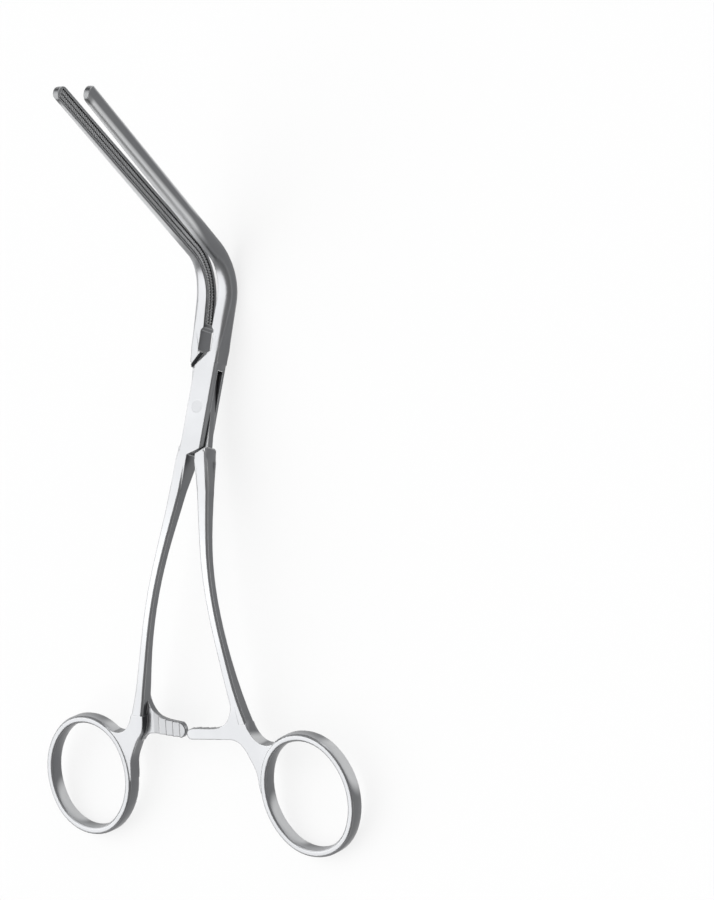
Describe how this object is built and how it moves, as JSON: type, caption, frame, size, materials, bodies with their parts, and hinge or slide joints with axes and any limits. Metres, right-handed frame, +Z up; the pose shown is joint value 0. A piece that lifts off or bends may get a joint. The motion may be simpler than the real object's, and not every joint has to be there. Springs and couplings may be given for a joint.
{
  "type": "arterial clamp",
  "caption": "Box-lock arterial clamp with long bent ridged jaws, set-back shanks, a ratchet and finger rings; it hinges open on a riveted pin.",
  "frame": {"origin": "middle of the bounding box, on the surface the clamp lies on", "axes": "+Y along the clamp from the finger rings to the jaws, +Z up to the jaw tips, +X across to the jaw of the box half"},
  "size_m": [0.1088, 0.213, 0.0719],
  "materials": {
    "forging_steel": "satin polished stainless steel",
    "pin_steel": "ground flush and polished stainless steel"
  },
  "bodies": {
    "box_body": {"female_half": "forging_steel", "pivot_pin": "pin_steel"},
    "web_body": {"male_half": "forging_steel"}
  },
  "joints": [
    {"name": "box_lock", "type": "hinge", "parent": "box_body", "child": "web_body", "pos_m": [0, 0.01882, 0.00836], "axis": [0, 0.1813, 0.9834], "range_deg": [-6.8, 38.2]}
  ]
}
